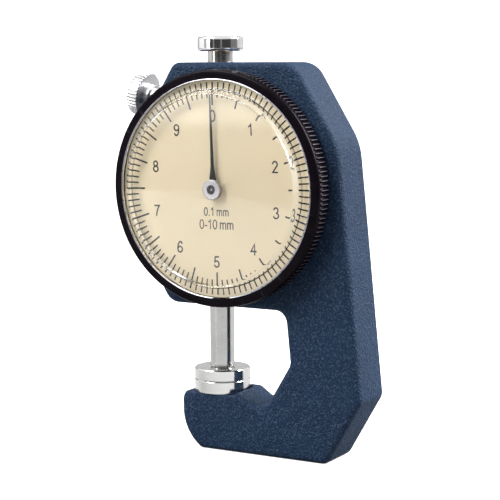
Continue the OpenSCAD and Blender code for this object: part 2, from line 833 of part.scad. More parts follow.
module lock_screw() {
  color([0.86, 0.86, 0.87])
    translate([0, 0, lock_z])
      rotate([0, lock_angle - 90, 0]) {
        translate([0, 0, pad_back])
          cylinder(r = lock_thread / 2, h = lock_reach - pad_back + lock_t / 2);
        translate([0, 0, lock_reach - neck_len])
          cylinder(r = neck_r, h = neck_len + lock_t / 2);
        intersection() {
          translate([0, 0, lock_reach])
            linear_extrude(lock_t)
              knurled(lock_d / 2, lock_teeth, lock_cut);
          disc(lock_d / 2 + 0.1, lock_reach, lock_t, lock_break + 0.1);
        }
      }
}

// The pad's end is a flat that stands upright beside the spindle.
module lock_pad() {
  color([0.75, 0.6, 0.3])
    difference() {
      along_lock(0, pad_back, pad_r);
      translate([-pad_x, -pad_r - 1, lock_z - pad_back])
        cube([2 * pad_x, 2 * pad_r + 2, 2 * pad_back]);
    }
}

frame();
upper_bush();
lower_bush();
lower_anvil();
spindle();
upper_contact();
lifting_knob();
guide_pin();
spring_pin();
spring_post();
return_spring();
movement_plate();
plate_screws();
front_bearing();
rear_bearing();
pinion_arbor();
hairspring();
hairspring_stud();
pointer();
pointer_hub();
bezel();
bezel_spring();
dial_plate();
crystal();
crystal_ring();
lock_screw();
lock_pad();
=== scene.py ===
import json
import math

import bmesh
import bpy
from mathutils import Matrix, Vector
from mathutils.geometry import tessellate_polygon


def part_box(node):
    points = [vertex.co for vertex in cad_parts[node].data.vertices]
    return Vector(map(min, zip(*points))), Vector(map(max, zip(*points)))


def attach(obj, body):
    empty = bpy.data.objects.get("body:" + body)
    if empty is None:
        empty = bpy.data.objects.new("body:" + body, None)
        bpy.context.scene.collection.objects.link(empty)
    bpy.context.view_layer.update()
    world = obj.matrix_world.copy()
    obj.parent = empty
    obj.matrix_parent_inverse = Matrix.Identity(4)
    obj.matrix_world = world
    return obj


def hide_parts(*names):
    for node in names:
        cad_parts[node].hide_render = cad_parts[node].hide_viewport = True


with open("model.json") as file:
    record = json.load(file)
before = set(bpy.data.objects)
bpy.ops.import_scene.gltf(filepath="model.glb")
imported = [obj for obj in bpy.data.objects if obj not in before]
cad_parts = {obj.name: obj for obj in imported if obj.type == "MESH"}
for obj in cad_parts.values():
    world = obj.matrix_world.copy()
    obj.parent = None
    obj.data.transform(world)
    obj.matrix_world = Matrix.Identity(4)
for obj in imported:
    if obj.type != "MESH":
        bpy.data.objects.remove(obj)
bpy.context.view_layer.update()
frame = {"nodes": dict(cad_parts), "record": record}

MM = 0.001

# Sizes repeated from the solids, in millimetres
FRAME_T = 9.5
EDGE_R = 1.0
FRONT = FRAME_T / 2
BEZEL_LO, BEZEL_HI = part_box("bezel")
DIAL_X = (BEZEL_LO.x + BEZEL_HI.x) / 2 / MM
DIAL_Z = (BEZEL_LO.z + BEZEL_HI.z) / 2 / MM
BEZEL_R = (BEZEL_HI.x - BEZEL_LO.x) / 2 / MM
BEZEL_REAR = -BEZEL_HI.y / MM
BEZEL_FRONT = -BEZEL_LO.y / MM
RIM_R = BEZEL_R - 1.6
BOSS_R = RIM_R - 0.6
DIAL_FRONT = -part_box("dial_plate")[0].y / MM
CRYSTAL_TOP = -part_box("crystal")[0].y / MM
LOCK_Z = 59.35

# Radius of the pinhole that closes a turned body at its axis
CORE_R = 0.0005
# Angles in degrees above which an edge is sharp
SMOOTH_ANGLE, CASTING_ANGLE, PRINT_ANGLE = 35, 25, 20


# Mesh helpers
def new_object(name, verts, faces, smooth_angle=SMOOTH_ANGLE):
    """A mesh in millimetres, cleaned and shaded."""
    mesh = bpy.data.meshes.new(name)
    mesh.from_pydata([Vector(v) * MM for v in verts], [], faces)
    mesh.validate()
    obj = bpy.data.objects.new(name, mesh)
    bpy.context.scene.collection.objects.link(obj)
    bm = bmesh.new()
    bm.from_mesh(mesh)
    bmesh.ops.remove_doubles(bm, verts=bm.verts, dist=1e-8)
    bmesh.ops.recalc_face_normals(bm, faces=bm.faces)
    bm.to_mesh(mesh)
    bm.free()
    shade(obj, smooth_angle)
    return obj


def shade(obj, angle=SMOOTH_ANGLE):
    """Smooth, with sharp edges above an angle in degrees."""
    obj.data.shade_smooth()
    obj.data.set_sharp_from_angle(angle=math.radians(angle))


def arc(cx, cy, r, a0, a1, steps):
    """Points of an arc, by angles in degrees."""
    pts = []
    for i in range(steps + 1):
        a = math.radians(a0 + (a1 - a0) * i / steps)
        pts.append((cx + r * math.cos(a), cy + r * math.sin(a)))
    return pts


def revolve(name, profile, origin, axis, segments, wave=None):
    """Turns (radius, height[, knurl]) points about an axis into a closed ring or body."""
    axis = Vector(axis).normalized()
    side = axis.orthogonal().normalized()
    other = axis.cross(side)
    verts, faces = [], []
    n = len(profile)
    for s in range(segments):
        a = 2 * math.pi * s / segments
        ray = side * math.cos(a) + other * math.sin(a)
        for p in profile:
            r = p[0] - p[2] * wave(s) if len(p) > 2 else p[0]
            verts.append(Vector(origin) + axis * p[1] + ray * r)
    for s in range(segments):
        t = (s + 1) % segments
        for i in range(n):
            j = (i + 1) % n
            faces.append((s * n + i, s * n + j, t * n + j, t * n + i))
    return new_object(name, verts, faces)


def revolve_dial(name, profile, segments, wave=None):
    """A lathe about the dial's axis, where heights are depths that run forward."""
    return revolve(name, profile, (DIAL_X, 0, DIAL_Z), (0, -1, 0), segments, wave)


def boolean(obj, cutter, operation):
    """Joins or cuts with another object, which is used up."""
    mod = obj.modifiers.new("cut", "BOOLEAN")
    mod.operation = operation
    mod.solver = "EXACT"
    mod.object = cutter
    deps = bpy.context.evaluated_depsgraph_get()
    mesh = bpy.data.meshes.new_from_object(obj.evaluated_get(deps))
    obj.modifiers.clear()
    old = obj.data
    obj.data = mesh
    bpy.data.meshes.remove(old)
    bpy.data.objects.remove(cutter)


def cylinder(radius, start, end, segments=96):
    """A plain cylinder between two points, used only as a cutter."""
    a, b = Vector(start) * MM, Vector(end) * MM
    bm = bmesh.new()
    bmesh.ops.create_cone(bm, cap_ends=True, segments=segments, radius1=radius * MM,
                          radius2=radius * MM, depth=(b - a).length)
    turn = (b - a).to_track_quat("Z", "Y").to_matrix().to_4x4()
    bmesh.ops.transform(bm, matrix=Matrix.Translation((a + b) / 2) @ turn, verts=bm.verts)
    mesh = bpy.data.meshes.new("cutter")
    bm.to_mesh(mesh)
    bm.free()
    obj = bpy.data.objects.new("cutter", mesh)
    bpy.context.scene.collection.objects.link(obj)
    return obj


# Materials
def material(name, base, rough, metallic=0.0, **extra):
    """A new material with its nodes, links and shader."""
    mat = bpy.data.materials.new(name)
    mat.use_nodes = True
    nodes, links = mat.node_tree.nodes, mat.node_tree.links
    bsdf = nodes["Principled BSDF"]
    bsdf.inputs["Metallic"].default_value = metallic
    bsdf.inputs["Base Color"].default_value = (*base, 1)
    bsdf.inputs["Roughness"].default_value = rough
    for key, value in extra.items():
        bsdf.inputs[key.replace("_", " ")].default_value = value
    return mat, nodes, links, bsdf


def texture(nodes, links, kind, scale, detail=2.0, stretch=(1, 1, 1)):
    """A texture in the object's own coordinates."""
    coord = nodes.new("ShaderNodeTexCoord")
    mapping = nodes.new("ShaderNodeMapping")
    mapping.inputs["Scale"].default_value = stretch
    links.new(coord.outputs["Object"], mapping.inputs["Vector"])
    tex = nodes.new(kind)
    tex.inputs["Scale"].default_value = scale
    if "Detail" in tex.inputs:
        tex.inputs["Detail"].default_value = detail
    links.new(mapping.outputs["Vector"], tex.inputs["Vector"])
    return tex


def ramp(nodes, links, source, stops):
    """A colour ramp through (position, colour) stops."""
    node = nodes.new("ShaderNodeValToRGB")
    while len(node.color_ramp.elements) < len(stops):
        node.color_ramp.elements.new(0.5)
    for e, (pos, col) in zip(node.color_ramp.elements, stops):
        e.position = pos
        e.color = (*col, 1)
    links.new(source, node.inputs["Fac"])
    return node


def grey(v):
    return (v, v, v)


def bump(nodes, links, bsdf, height, strength, distance):
    node = nodes.new("ShaderNodeBump")
    node.inputs["Strength"].default_value = strength
    node.inputs["Distance"].default_value = distance
    links.new(height, node.inputs["Height"])
    links.new(node.outputs["Normal"], bsdf.inputs["Normal"])


def edge_wear(nodes, links, low, high):
    """A mask that is bright on convex edges, where a painted highlight goes."""
    geo = nodes.new("ShaderNodeNewGeometry")
    return ramp(nodes, links, geo.outputs["Pointiness"], [(low, grey(0)), (high, grey(1))])


def feed(links, value, socket):
    """Links a socket to another, or sets a plain value."""
    if hasattr(value, "links"):
        links.new(value, socket)
    else:
        socket.default_value = value


def mix_color(nodes, links, fac, a, b, blend="MIX"):
    """A blend of two colours, each a socket or plain red, green and blue."""
    node = nodes.new("ShaderNodeMix")
    node.data_type, node.blend_type = "RGBA", blend
    links.new(fac, node.inputs["Factor"])
    for socket, value in ((node.inputs[6], a), (node.inputs[7], b)):
        feed(links, value if hasattr(value, "links") else (*value, 1), socket)
    return node.outputs[2]


def math_node(nodes, links, operation, a, b):
    """The result of an operation on two inputs, each a socket or a number."""
    node = nodes.new("ShaderNodeMath")
    node.operation = operation
    feed(links, a, node.inputs[0])
    feed(links, b, node.inputs[1])
    return node.outputs[0]


def make_paint():
    """Blue paint with a fine orange peel, pale flecks and a painted highlight along its convex edges."""
    mat, nodes, links, bsdf = material("blue_paint", (0.005, 0.02, 0.05), 0.5, Specular_IOR_Level=0.12)
    grain = texture(nodes, links, "ShaderNodeTexNoise", 3500, 4)
    blotch = texture(nodes, links, "ShaderNodeTexNoise", 160, 2)
    cells = texture(nodes, links, "ShaderNodeTexVoronoi", 2400)
    tone = ramp(nodes, links, blotch.outputs["Fac"],
                [(0.3, (0.003, 0.012, 0.033)), (0.7, (0.004, 0.016, 0.04))])
    fleck = ramp(nodes, links, grain.outputs["Fac"], [(0.5, grey(0)), (0.7, grey(1))])
    colour = mix_color(nodes, links, fleck.outputs["Color"], tone.outputs["Color"], (0.03, 0.05, 0.085))
    # Painted highlight: a lighter blue on the convex edges, standing in for light on the rounded edges
    edge_highlight = edge_wear(nodes, links, 0.54, 0.64)
    colour = mix_color(nodes, links, edge_highlight.outputs["Color"], colour, (0.026, 0.044, 0.08))
    links.new(colour, bsdf.inputs["Base Color"])
    gloss = ramp(nodes, links, cells.outputs["Distance"], [(0.1, grey(0.4)), (0.7, grey(0.58))])
    links.new(gloss.outputs["Color"], bsdf.inputs["Roughness"])
    height = math_node(nodes, links, "ADD", grain.outputs["Fac"], cells.outputs["Distance"])
    bump(nodes, links, bsdf, height, 1.0, 0.00012)
    return mat


def make_metal(name, base, rough, scale, stretch, depth):
    """Turned or ground metal: fine lines along one direction."""
    mat, nodes, links, bsdf = material(name, base, rough, 1.0)
    lines = texture(nodes, links, "ShaderNodeTexNoise", scale, 2, stretch)
    cloud = texture(nodes, links, "ShaderNodeTexNoise", 220, 2)
    dark = tuple(c * 0.88 for c in base)
    tone = ramp(nodes, links, cloud.outputs["Fac"], [(0.35, dark), (0.7, base)])
    links.new(tone.outputs["Color"], bsdf.inputs["Base Color"])
    gloss = ramp(nodes, links, lines.outputs["Fac"],
                 [(0.3, grey(rough * 0.7)), (0.7, grey(rough * 1.4))])
    links.new(gloss.outputs["Color"], bsdf.inputs["Roughness"])
    bump(nodes, links, bsdf, lines.outputs["Fac"], depth, 0.00002)
    return mat


def make_black():
    """Satin black with a faint purple cast and a painted highlight on its convex edges."""
    mat, nodes, links, bsdf = material("black_anodised", (0.003, 0.002, 0.004), 0.25, Specular_IOR_Level=0.04)
    grain = texture(nodes, links, "ShaderNodeTexNoise", 3500, 2)
    cloud = texture(nodes, links, "ShaderNodeTexNoise", 240, 2)
    tone = ramp(nodes, links, cloud.outputs["Fac"],
                [(0.3, (0.002, 0.0013, 0.0024)), (0.7, (0.004, 0.0026, 0.0045))])
    # Painted highlight: a lighter grey on the convex edges, so the ridges read light against the black
    edge_highlight = edge_wear(nodes, links, 0.53, 0.66)
    colour = mix_color(nodes, links, edge_highlight.outputs["Color"], tone.outputs["Color"], (0.018, 0.015, 0.02))
    links.new(colour, bsdf.inputs["Base Color"])
    gloss = ramp(nodes, links, grain.outputs["Fac"], [(0.3, grey(0.2)), (0.7, grey(0.28))])
    links.new(gloss.outputs["Color"], bsdf.inputs["Roughness"])
    bump(nodes, links, bsdf, grain.outputs["Fac"], 0.15, 0.00002)
    return mat


def make_dial():
    """Matt cream enamel."""
    mat, nodes, links, bsdf = material("cream_dial", (0.72, 0.62, 0.42), 0.55)
    cloud = texture(nodes, links, "ShaderNodeTexNoise", 90, 3)
    grain = texture(nodes, links, "ShaderNodeTexNoise", 5200, 2)
    tone = ramp(nodes, links, cloud.outputs["Fac"], [(0.3, (0.76, 0.64, 0.42)), (0.7, (0.8, 0.68, 0.46))])
    links.new(tone.outputs["Color"], bsdf.inputs["Base Color"])
    gloss = ramp(nodes, links, grain.outputs["Fac"], [(0.3, grey(0.5)), (0.7, grey(0.62))])
    links.new(gloss.outputs["Color"], bsdf.inputs["Roughness"])
    bump(nodes, links, bsdf, grain.outputs["Fac"], 0.1, 0.00001)
    return mat


def make_ink(name, base):
    """Dark print or paint with a little grain."""
    mat, nodes, links, bsdf = material(name, base, 0.5, Specular_IOR_Level=0.12)
    grain = texture(nodes, links, "ShaderNodeTexNoise", 4200, 2)
    lighter = tuple(c * 1.6 for c in base)
    tone = ramp(nodes, links, grain.outputs["Fac"], [(0.35, base), (0.75, lighter)])
    links.new(tone.outputs["Color"], bsdf.inputs["Base Color"])
    gloss = ramp(nodes, links, grain.outputs["Fac"], [(0.3, grey(0.4)), (0.7, grey(0.55))])
    links.new(gloss.outputs["Color"], bsdf.inputs["Roughness"])
    return mat


def make_crystal():
    """Clear acrylic with a trace of haze."""
    mat, nodes, links, bsdf = material("clear_acrylic", (1, 1, 1), 0.01, Transmission_Weight=1.0, IOR=1.45)
    haze = texture(nodes, links, "ShaderNodeTexNoise", 300, 2)
    gloss = ramp(nodes, links, haze.outputs["Fac"], [(0.4, grey(0.0)), (0.8, grey(0.02))])
    links.new(gloss.outputs["Color"], bsdf.inputs["Roughness"])
    return mat


PAINT = make_paint()
STEEL = make_metal("polished_steel", (0.78, 0.78, 0.77), 0.14, scale=900, stretch=(1, 1, 9), depth=0.12)
GROUND = make_metal("ground_steel", (0.56, 0.56, 0.55), 0.18, scale=900, stretch=(1, 1, 9), depth=0.15)
CHROME = make_metal("bright_chrome", (0.84, 0.84, 0.85), 0.1, scale=1500, stretch=(1, 1, 1), depth=0.02)
PLAIN = make_metal("plain_steel", (0.42, 0.41, 0.42), 0.34, scale=1200, stretch=(1, 8, 1), depth=0.2)
RING = make_metal("ring_chrome", (0.42, 0.41, 0.44), 0.3, scale=1500, stretch=(1, 1, 1), depth=0.06)
BRONZE = make_metal("bush_bronze", (0.26, 0.19, 0.1), 0.36, scale=1200, stretch=(1, 1, 6), depth=0.2)
BRASS = make_metal("brass", (0.72, 0.55, 0.24), 0.28, scale=1200, stretch=(1, 1, 6), depth=0.2)
BLUED = make_metal("blued_steel", (0.12, 0.16, 0.34), 0.25, scale=1200, stretch=(1, 6, 1), depth=0.15)
SATIN = make_metal("satin_chrome", (0.5, 0.5, 0.51), 0.36, scale=1500, stretch=(1, 1, 1), depth=0.06)
# Painted shade: near-black steel for the hub's recess
RECESS_SHADE = make_metal("recess_painted_shade", (0.05, 0.05, 0.055), 0.45, scale=1500, stretch=(1, 1, 1), depth=0.1)
# Painted highlight: a lighter grey for the tops of the bezel's knurl ridges
RIDGE_HIGHLIGHT = make_ink("ridge_painted_highlight", (0.038, 0.035, 0.042))
BLACK = make_black()
CREAM = make_dial()
INK = make_ink("dial_ink", (0.006, 0.005, 0.005))
HAND = make_ink("black_paint", (0.007, 0.007, 0.009))
CRYSTAL = make_crystal()

SLOT_MATERIALS = {
    "blue_paint": PAINT, "brass": BRASS, "polished_steel": STEEL, "bright_chrome": CHROME, "plain_steel": PLAIN,
    "blued_steel": BLUED, "black_paint": HAND, "black_anodised": BLACK, "cream_dial": CREAM,
    "clear_acrylic": CRYSTAL}
NODE_SLOTS = {s["node"]: s["material_slot"] for s in frame["record"]["subparts"]}


def dress(obj, slot_name, body):
    """Gives a piece the material of its slot, and its body."""
    obj.data.materials.clear()
    obj.data.materials.append(SLOT_MATERIALS[slot_name])
    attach(obj, body)
    return obj


for node_name, node_obj in frame["nodes"].items():
    node_obj.data.materials.clear()
    node_obj.data.materials.append(SLOT_MATERIALS[NODE_SLOTS[node_name]])
frame["nodes"]["spindle"].data.materials[0] = GROUND
frame["nodes"]["upper_bush"].data.materials[0] = BRONZE


# The casting
def unit(v):
    return v / v.length


def rounded(corners, step=5.0):
    """Points with outward normals along an outline whose corners each have a radius."""
    out = []
    n = len(corners)
    for i, (x, z, r) in enumerate(corners):
        q = Vector((x, z))
        p = Vector(corners[i - 1][:2])
        s = Vector(corners[(i + 1) % n][:2])
        a, b = unit(p - q), unit(s - q)
        half = math.acos(max(-1, min(1, a.dot(b)))) / 2
        centre = q + unit(a + b) * r / math.sin(half)
        start = q + a * r / math.tan(half) - centre
        side = 1 if (q - p).cross(s - q) > 0 else -1
        sweep = side * (180 - 2 * math.degrees(half))
        a0 = math.degrees(math.atan2(start.y, start.x))
        steps = max(2, math.ceil(abs(sweep) / step))
        for k in range(steps + 1):
            t = math.radians(a0 + sweep * k / steps)
            normal = Vector((math.cos(t), math.sin(t)))
            out.append((centre + r * normal, side * normal))
    return out


def tan_deg(degrees):
    return math.tan(math.radians(degrees))


def casting_corners():
    """The outline's corners, each (x, z, radius), from the foot's right end up the spine and round."""
    head_top, head_low, head_left = 68.4, 25.9, 16.0
    top_left, top_right, low_left = 7.1, 16.9, 8.2
    chamfer, lean, foot_angle, slope_angle, groove_angle = 58.5, 5.8, 60, 59, 34
    spine_x, foot_right, throat, slope_top = 30.9, 23.2, 15.1, 16.7
    arm_top, toe_reach, toe_rise, toe_foot, land_x = 10.7, 5.8, 2.6, 2.0, 5.6
    plain_r, shoulder_r, crown_r, chin_r, throat_r = 2.0, 11.0, 4.5, 3.0, 2.2
    groove_r, land_r, toe_top_r, toe_r = 3.4, 1.2, 2.2, 8.0
    spine_lean, rise = tan_deg(lean), tan_deg(chamfer)
    slope, fall = tan_deg(slope_angle), tan_deg(groove_angle)
    spine_top_z = (spine_x - top_right - head_top / rise) / (spine_lean - 1 / rise)
    spine_low_z = (spine_x - foot_right) / (1 / tan_deg(foot_angle) + spine_lean)
    slope_x = throat + (head_low - slope_top) * spine_lean
    run = (slope_top - arm_top - (slope_x - land_x) * slope) / (-fall - slope)
    return [
        (foot_right, 0, plain_r),
        (spine_x - spine_low_z * spine_lean, spine_low_z, plain_r),
        (spine_x - spine_top_z * spine_lean, spine_top_z, shoulder_r),
        (top_right, head_top, crown_r),
        (-top_left, head_top, plain_r),
        (-head_left, head_top - (head_left - top_left) * rise, plain_r),
        (-head_left, head_low + (head_left - low_left) * rise, plain_r),
        (-low_left, head_low, chin_r),
        (throat, head_low, throat_r),
        (slope_x, slope_top, throat_r),
        (land_x + run, arm_top - run * fall, groove_r),
        (land_x, arm_top, land_r),
        (-toe_reach, arm_top, toe_top_r),
        (-toe_reach, toe_rise, toe_r),
        (-toe_foot, 0, land_r)]


def along_dial(radius, back, front):
    """A cylinder on the dial's axis, as its radius and two ends."""
    return radius, (DIAL_X, back, DIAL_Z), (DIAL_X, front, DIAL_Z)


def upright(radius, low, high, y=0):
    """A cylinder on the spindle's axis or beside it, as its radius and two ends."""
    return radius, (0, y, low), (0, y, high)


def make_casting():
    """The painted skin: a rounded slab with the dial's boss and the bores cut in."""
    path = rounded(casting_corners())
    n = len(path)
    turns = [math.radians(a) for a in range(90, -1, -15)]
    rings = [(EDGE_R * (1 - math.cos(t)), FRONT - EDGE_R + EDGE_R * math.sin(t)) for t in turns]
    rings += [(inset, -y) for inset, y in reversed(rings)]
    verts = [((p - inset * m).x, y, (p - inset * m).y) for inset, y in rings for p, m in path]
    faces = []
    for j in range(len(rings) - 1):
        for i in range(n):
            k = (i + 1) % n
            faces.append((j * n + i, j * n + k, (j + 1) * n + k, (j + 1) * n + i))
    flat = [Vector((p - EDGE_R * m).to_3d()) for p, m in path]
    tris = tessellate_polygon([flat])
    faces += [tuple(t) for t in tris]
    faces += [tuple(v + (len(rings) - 1) * n for v in reversed(t)) for t in tris]
    obj = new_object("frame_casting", verts, faces)
    boss_root, boss_rise, boss_sides = 3, 1.65, 128
    boolean(obj, cylinder(*along_dial(BOSS_R, -boss_root, -FRONT - boss_rise), boss_sides), "UNION")
    pocket_r, pocket_wall, step_r, step_depth, clear = 13.0, 1.85, 15.0, 3.3, 9
    bush_r, below_head, low_bush_top, high_bush_low, above_head = 3.41, 24, 31.5, 61.95, 70
    bore_r, bore_low, bore_high = 2.5, 30, 64
    seat_r, seat_z, above_seat, seat_shift = 5.5, 10, 14, -3
    stem_r, stem_low, stem_high = 2.01, 4, 11
    lock_r, lock_run, lock_rise = 1.53, 24.45, 5.2
    cuts = [
        along_dial(pocket_r, FRONT - pocket_wall, -clear), along_dial(step_r, -step_depth, -clear),
        upright(bush_r, below_head, low_bush_top), upright(bush_r, high_bush_low, above_head),
        upright(bore_r, bore_low, bore_high), upright(seat_r, seat_z, above_seat),
        upright(seat_r, seat_z, above_seat, seat_shift), upright(stem_r, stem_low, stem_high),
        (lock_r, (0, 0, LOCK_Z), (-lock_run, 0, LOCK_Z + lock_rise))]
    for radius, start, end in cuts:
        boolean(obj, cylinder(radius, start, end), "DIFFERENCE")
    shade(obj, CASTING_ANGLE)
    return obj


casting = dress(make_casting(), "blue_paint", "body")
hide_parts("frame")


# Bezel with straight serrations
SERRATIONS = 164
SAMPLES = 6


def knurl_wave(s):
    """Depth of the knurl at one step round the rim, as a share of the full cut."""
    return (0.0, 0.0, 0.35, 0.9, 1.0, 0.55)[s % SAMPLES]


def make_bezel():
    """The knurled ring that turns on the casting's boss."""
    cut, fit, lip, edge_r = 0.24, 0.03, 0.65, 0.45
    knurl_front = BEZEL_FRONT - 0.8
    ring, groove_r = BEZEL_R - 0.08, BEZEL_R - 0.27
    ledge, skirt = DIAL_FRONT - 0.4, DIAL_FRONT - 0.85
    profile = [(BOSS_R + fit, BEZEL_REAR), (BEZEL_R - 0.5, BEZEL_REAR), (BEZEL_R - 0.3, BEZEL_REAR + 0.06),
               (BEZEL_R - 0.02, BEZEL_REAR + 0.3, cut), (BEZEL_R, BEZEL_REAR + 0.36, cut),
               (BEZEL_R, knurl_front - 0.32, cut), (BEZEL_R - 0.02, knurl_front - 0.26, cut),
               (groove_r, knurl_front), (groove_r, knurl_front + 0.06), (ring, knurl_front + 0.12)]
    profile += arc(ring - edge_r, BEZEL_FRONT - 0.5, edge_r, 0, 75, 6)
    profile += [(RIM_R + 0.35, BEZEL_FRONT - 0.02), (RIM_R + 0.1, BEZEL_FRONT), (RIM_R, BEZEL_FRONT - 0.08),
                (RIM_R, ledge), (BOSS_R - lip, ledge), (BOSS_R - lip, skirt), (BOSS_R + fit, skirt)]
    return revolve_dial("bezel_ring", profile, SERRATIONS * SAMPLES, knurl_wave)


def dial_radius(point):
    return math.hypot(point.x / MM - DIAL_X, point.z / MM - DIAL_Z)


bezel = dress(make_bezel(), "black_anodised", "dial_unit")
bezel.data.materials.append(RIDGE_HIGHLIGHT)
# The knurl's outermost faces get the painted ridge highlight
for polygon in bezel.data.polygons:
    if dial_radius(polygon.center) > BEZEL_R - 0.03:
        polygon.material_index = 1
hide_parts("bezel")


# Crystal and its ring
BAND_W = 0.22
FLANGE = DIAL_FRONT + 0.55


def make_crystal_body():
    """A thick plate, stepped at the rim and hollowed by a flat cone around the hub."""
    seat, outer = DIAL_FRONT + 0.02, RIM_R - 0.01
    side = RIM_R - BAND_W - 0.02
    rim_top, rim_fall = BEZEL_FRONT + 0.1, 0.12
    step_r = side - 1.65
    top_r, hollow_r, hollow_draft, dome_r = step_r - 0.55, 16.35, 0.6, 2.35
    roof, hollow_edge = CRYSTAL_TOP - 1.0, DIAL_FRONT + 1.15
    fall = (roof - hollow_edge) / (hollow_r - dome_r)
    round_r, round_in = 0.4, 0.285
    # Points close to an edge keep the shading of the flat faces flat
    edge_hold, cone_hold = 0.32, 0.05
    profile = [(hollow_r + hollow_draft, seat), (outer, seat), (outer, FLANGE), (side, FLANGE),
               (side, rim_top - rim_fall), (step_r + edge_hold, rim_top)]
    profile += arc(step_r + round_in, rim_top + round_r, round_r, -90, -161, 8)
    profile += arc(top_r - round_in, CRYSTAL_TOP - round_r, round_r, 19, 90, 10)
    profile += [(top_r - edge_hold, CRYSTAL_TOP), (CORE_R, CRYSTAL_TOP), (CORE_R, roof),
                (dome_r - cone_hold, roof), (dome_r, roof), (dome_r + cone_hold, roof - cone_hold * fall),
                (hollow_r, hollow_edge)]
    return revolve_dial("crystal_glass", profile, 160)


crystal = dress(make_crystal_body(), "clear_acrylic", "dial_unit")
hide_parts("crystal")


def make_crystal_ring():
    """A split ring with its gap near the bottom."""
    inner, outer = RIM_R - BAND_W, RIM_R - 0.01
    edge, shoulder, crown, bevel = BEZEL_FRONT - 0.02, BEZEL_FRONT + 0.04, BEZEL_FRONT + 0.06, 0.05
    profile = [(inner, FLANGE), (outer, FLANGE), (outer, edge), (outer - bevel, shoulder),
               (outer - 2 * bevel, crown), (inner + bevel, shoulder), (inner, edge)]
    obj = revolve_dial("crystal_band", profile, 192)
    gap_turn, gap_half, clear = math.radians(4.6), 1.7, 1
    gap_x, gap_z = DIAL_X + outer * math.sin(gap_turn), DIAL_Z - outer * math.cos(gap_turn)
    gap = cylinder(gap_half, (gap_x, clear - FLANGE, gap_z), (gap_x, -clear - BEZEL_FRONT, gap_z))
    boolean(obj, gap, "DIFFERENCE")
    shade(obj)
    return obj


band = dress(make_crystal_ring(), "bright_chrome", "dial_unit")
band.data.materials[0] = RING
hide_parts("crystal_ring")


# Lock screw with coarse serrations
LOCK_TEETH, LOCK_SAMPLES = 38, 8


def lock_wave(s):
    """Depth of the serrations at one step round the knob, as a share of the full cut."""
    return (0.0, 0.0, 0.1, 0.5, 0.95, 1.0, 0.95, 0.5)[s % LOCK_SAMPLES]


def make_lock():
    """The thumb screw along its own axis, from the tip out to the knob."""
    climb = math.radians(12)
    knob_r, inner, outer, cut, edge = 3.95, 15.6, 17.7, 0.25, 0.3
    neck_r, neck_back, thread_r, tip = 2.0, 14.4, 1.5, 4.67
    profile = [(CORE_R, tip), (thread_r - 0.1, tip), (thread_r, tip + 0.1), (thread_r, neck_back),
               (neck_r - 0.1, neck_back), (neck_r, neck_back + 0.1), (neck_r, inner),
               (knob_r - edge - 0.1, inner), (knob_r - 0.05, inner + 0.02, cut),
               (knob_r, inner + 0.08, cut), (knob_r, outer - edge - 0.05, cut),
               (knob_r - 0.12, outer - 0.16, cut * 0.5), (knob_r - edge, outer - 0.02),
               (knob_r - edge - 0.2, outer), (CORE_R, outer)]
    return revolve("lock_thumb_screw", profile, (0, 0, LOCK_Z), (-math.cos(climb), 0, math.sin(climb)),
                   LOCK_TEETH * LOCK_SAMPLES, lock_wave)


lock = dress(make_lock(), "bright_chrome", "lock_knob")
lock.data.materials[0] = SATIN
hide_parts("lock_screw")


# Hub with a recess around the arbor's end, painted dark as shade
def make_hub():
    """The cap, with the depth and radius that bound its recess, which is painted dark as shade."""
    stem_back, cap_back, front = DIAL_FRONT + 0.45, DIAL_FRONT + 0.85, CRYSTAL_TOP - 1.4
    bore_r, stem_r, cap_r, edge_r = 0.52, 0.86, 1.75, 0.25
    recess_r, core_r, recess, lip = 0.8, 0.16, 0.25, 0.04
    profile = [(bore_r, stem_back), (stem_r, stem_back), (stem_r, cap_back), (cap_r - 0.03, cap_back),
               (cap_r, cap_back + 0.03)]
    profile += arc(cap_r - edge_r, front - edge_r, edge_r, 0, 90, 6)
    floor, under = front - recess + 0.02, front - recess + 0.01
    profile += [(recess_r + lip, front), (recess_r, front - lip), (recess_r, floor), (core_r, floor),
                (core_r, under), (bore_r, under)]
    obj = revolve_dial("hub_cap", profile, 96)
    return obj, front - 0.02, recess_r + 0.01


hub, lip, recess_edge = make_hub()
dress(hub, "plain_steel", "hand")
hub.data.materials.append(RECESS_SHADE)
# Faces inside the recess get the near-black painted shade
for polygon in hub.data.polygons:
    if dial_radius(polygon.center) < recess_edge and -polygon.center.y / MM < lip:
        polygon.material_index = 1
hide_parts("pointer_hub")


# Dial markings
PRINT_T = 0.012
LEAN = math.radians(1.4)
LEAN_COS, LEAN_SIN = math.cos(LEAN), math.sin(LEAN)
DIVISIONS, LONG_EVERY = 100, 5
LONG_IN, SHORT_IN, TICK_OUT = 14.4, 15.7, 18.25
LONG_W, SHORT_W = 0.3, 0.26


def mark_box(verts, faces, angle, r0, r1, width):
    """One radial mark as a very thin box."""
    b = len(verts)
    ca, sa = math.cos(angle), math.sin(angle)
    for d in (DIAL_FRONT, DIAL_FRONT + PRINT_T):
        for r, w in ((r0, -width), (r0, width), (r1, width), (r1, -width)):
            x, z = r * sa + w / 2 * ca, r * ca - w / 2 * sa
            verts.append((DIAL_X + x, -d, DIAL_Z + z))
    faces += [(b, b + 1, b + 2, b + 3), (b + 7, b + 6, b + 5, b + 4), (b, b + 4, b + 5, b + 1),
              (b + 1, b + 5, b + 6, b + 2), (b + 2, b + 6, b + 7, b + 3), (b + 3, b + 7, b + 4, b)]


def make_ticks():
    verts, faces = [], []
    for i in range(DIVISIONS):
        angle = 2 * math.pi * i / DIVISIONS - LEAN
        inner, width = (SHORT_IN, SHORT_W) if i % LONG_EVERY else (LONG_IN, LONG_W)
        mark_box(verts, faces, angle, inner, TICK_OUT, width)
    return new_object("dial_ticks", verts, faces)


ticks = make_ticks()
ticks.data.materials.append(INK)
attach(ticks, "dial_unit")


